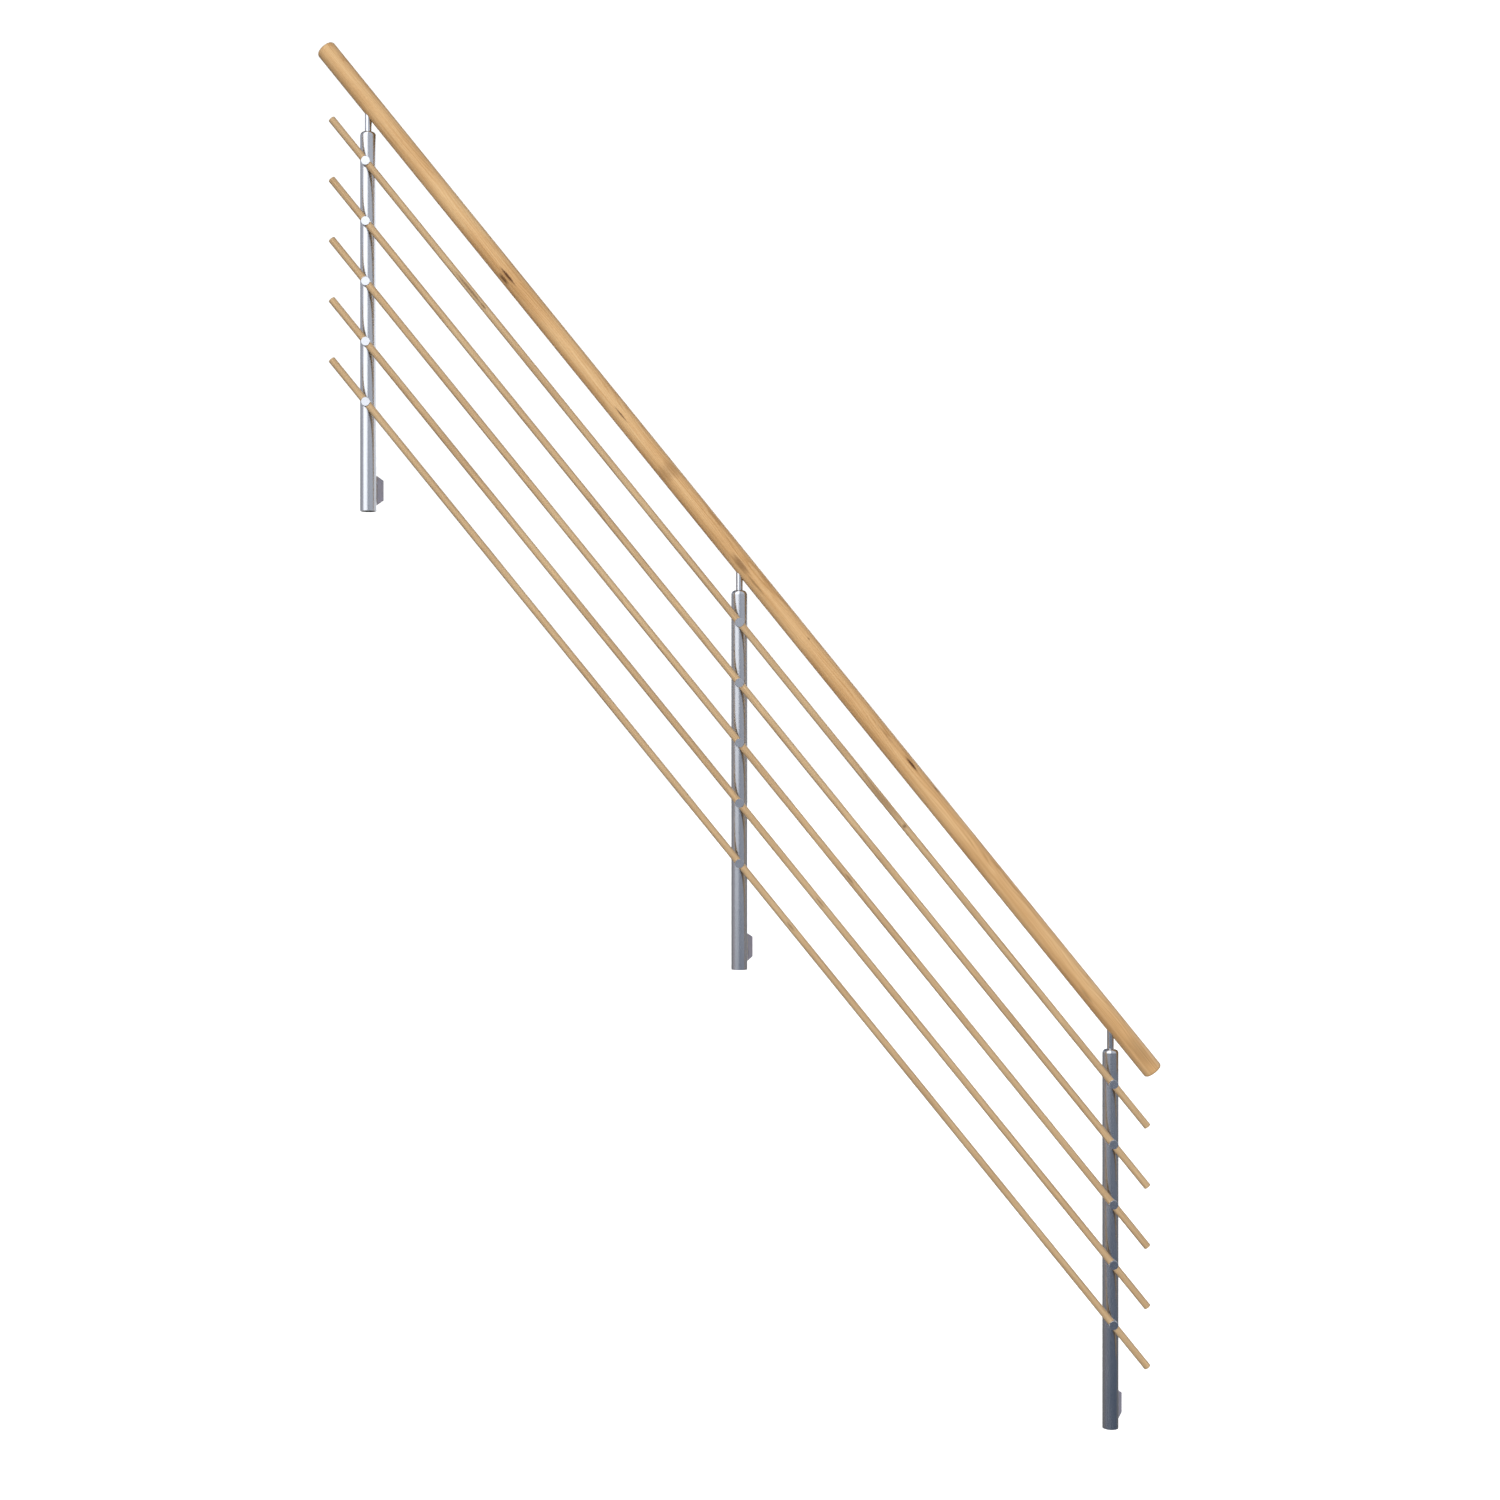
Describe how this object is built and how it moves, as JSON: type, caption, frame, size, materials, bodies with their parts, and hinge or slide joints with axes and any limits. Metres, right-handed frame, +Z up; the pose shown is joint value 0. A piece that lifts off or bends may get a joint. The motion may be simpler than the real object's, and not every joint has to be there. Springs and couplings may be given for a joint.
{
  "type": "stair balustrade panel",
  "caption": "Fixed open stair balustrade panel: round steel posts with side brackets carry a round wooden handrail on pins and slanting wooden rods in turned holders.",
  "frame": {"origin": "on the lower bracket's bearing face, midway between its two tapped holes", "axes": "+Z up, +X level and down the stair, +Y out of the bearing faces towards the stringer"},
  "size_m": [2.0742, 0.073, 3.411],
  "materials": {
    "rail_wood": "clear lacquered oak",
    "rod_wood": "clear lacquered oak",
    "post_steel": "fine-ground stainless tube",
    "cap_steel": "turned and polished stainless",
    "pin_steel": "drawn stainless bar",
    "holder_steel": "turned and polished stainless",
    "bracket_steel": "bead-blasted stainless",
    "plug_plastic": "moulded polyethylene"
  },
  "bodies": {
    "root": {"handrail": "rail_wood", "rod_1": "rod_wood", "rod_2": "rod_wood", "rod_3": "rod_wood", "rod_4": "rod_wood", "rod_5": "rod_wood", "lower_post_tube": "post_steel", "lower_post_cap": "cap_steel", "lower_rail_pin": "pin_steel", "lower_foot_bracket": "bracket_steel", "lower_foot_plug": "plug_plastic", "lower_holder_1": "holder_steel", "lower_holder_2": "holder_steel", "lower_holder_3": "holder_steel", "lower_holder_4": "holder_steel", "lower_holder_5": "holder_steel", "middle_post_tube": "post_steel", "middle_post_cap": "cap_steel", "middle_rail_pin": "pin_steel", "middle_foot_bracket": "bracket_steel", "middle_foot_plug": "plug_plastic", "middle_holder_1": "holder_steel", "middle_holder_2": "holder_steel", "middle_holder_3": "holder_steel", "middle_holder_4": "holder_steel", "middle_holder_5": "holder_steel", "upper_post_tube": "post_steel", "upper_post_cap": "cap_steel", "upper_rail_pin": "pin_steel", "upper_foot_bracket": "bracket_steel", "upper_foot_plug": "plug_plastic", "upper_holder_1": "holder_steel", "upper_holder_2": "holder_steel", "upper_holder_3": "holder_steel", "upper_holder_4": "holder_steel", "upper_holder_5": "holder_steel"}
  },
  "joints": []
}
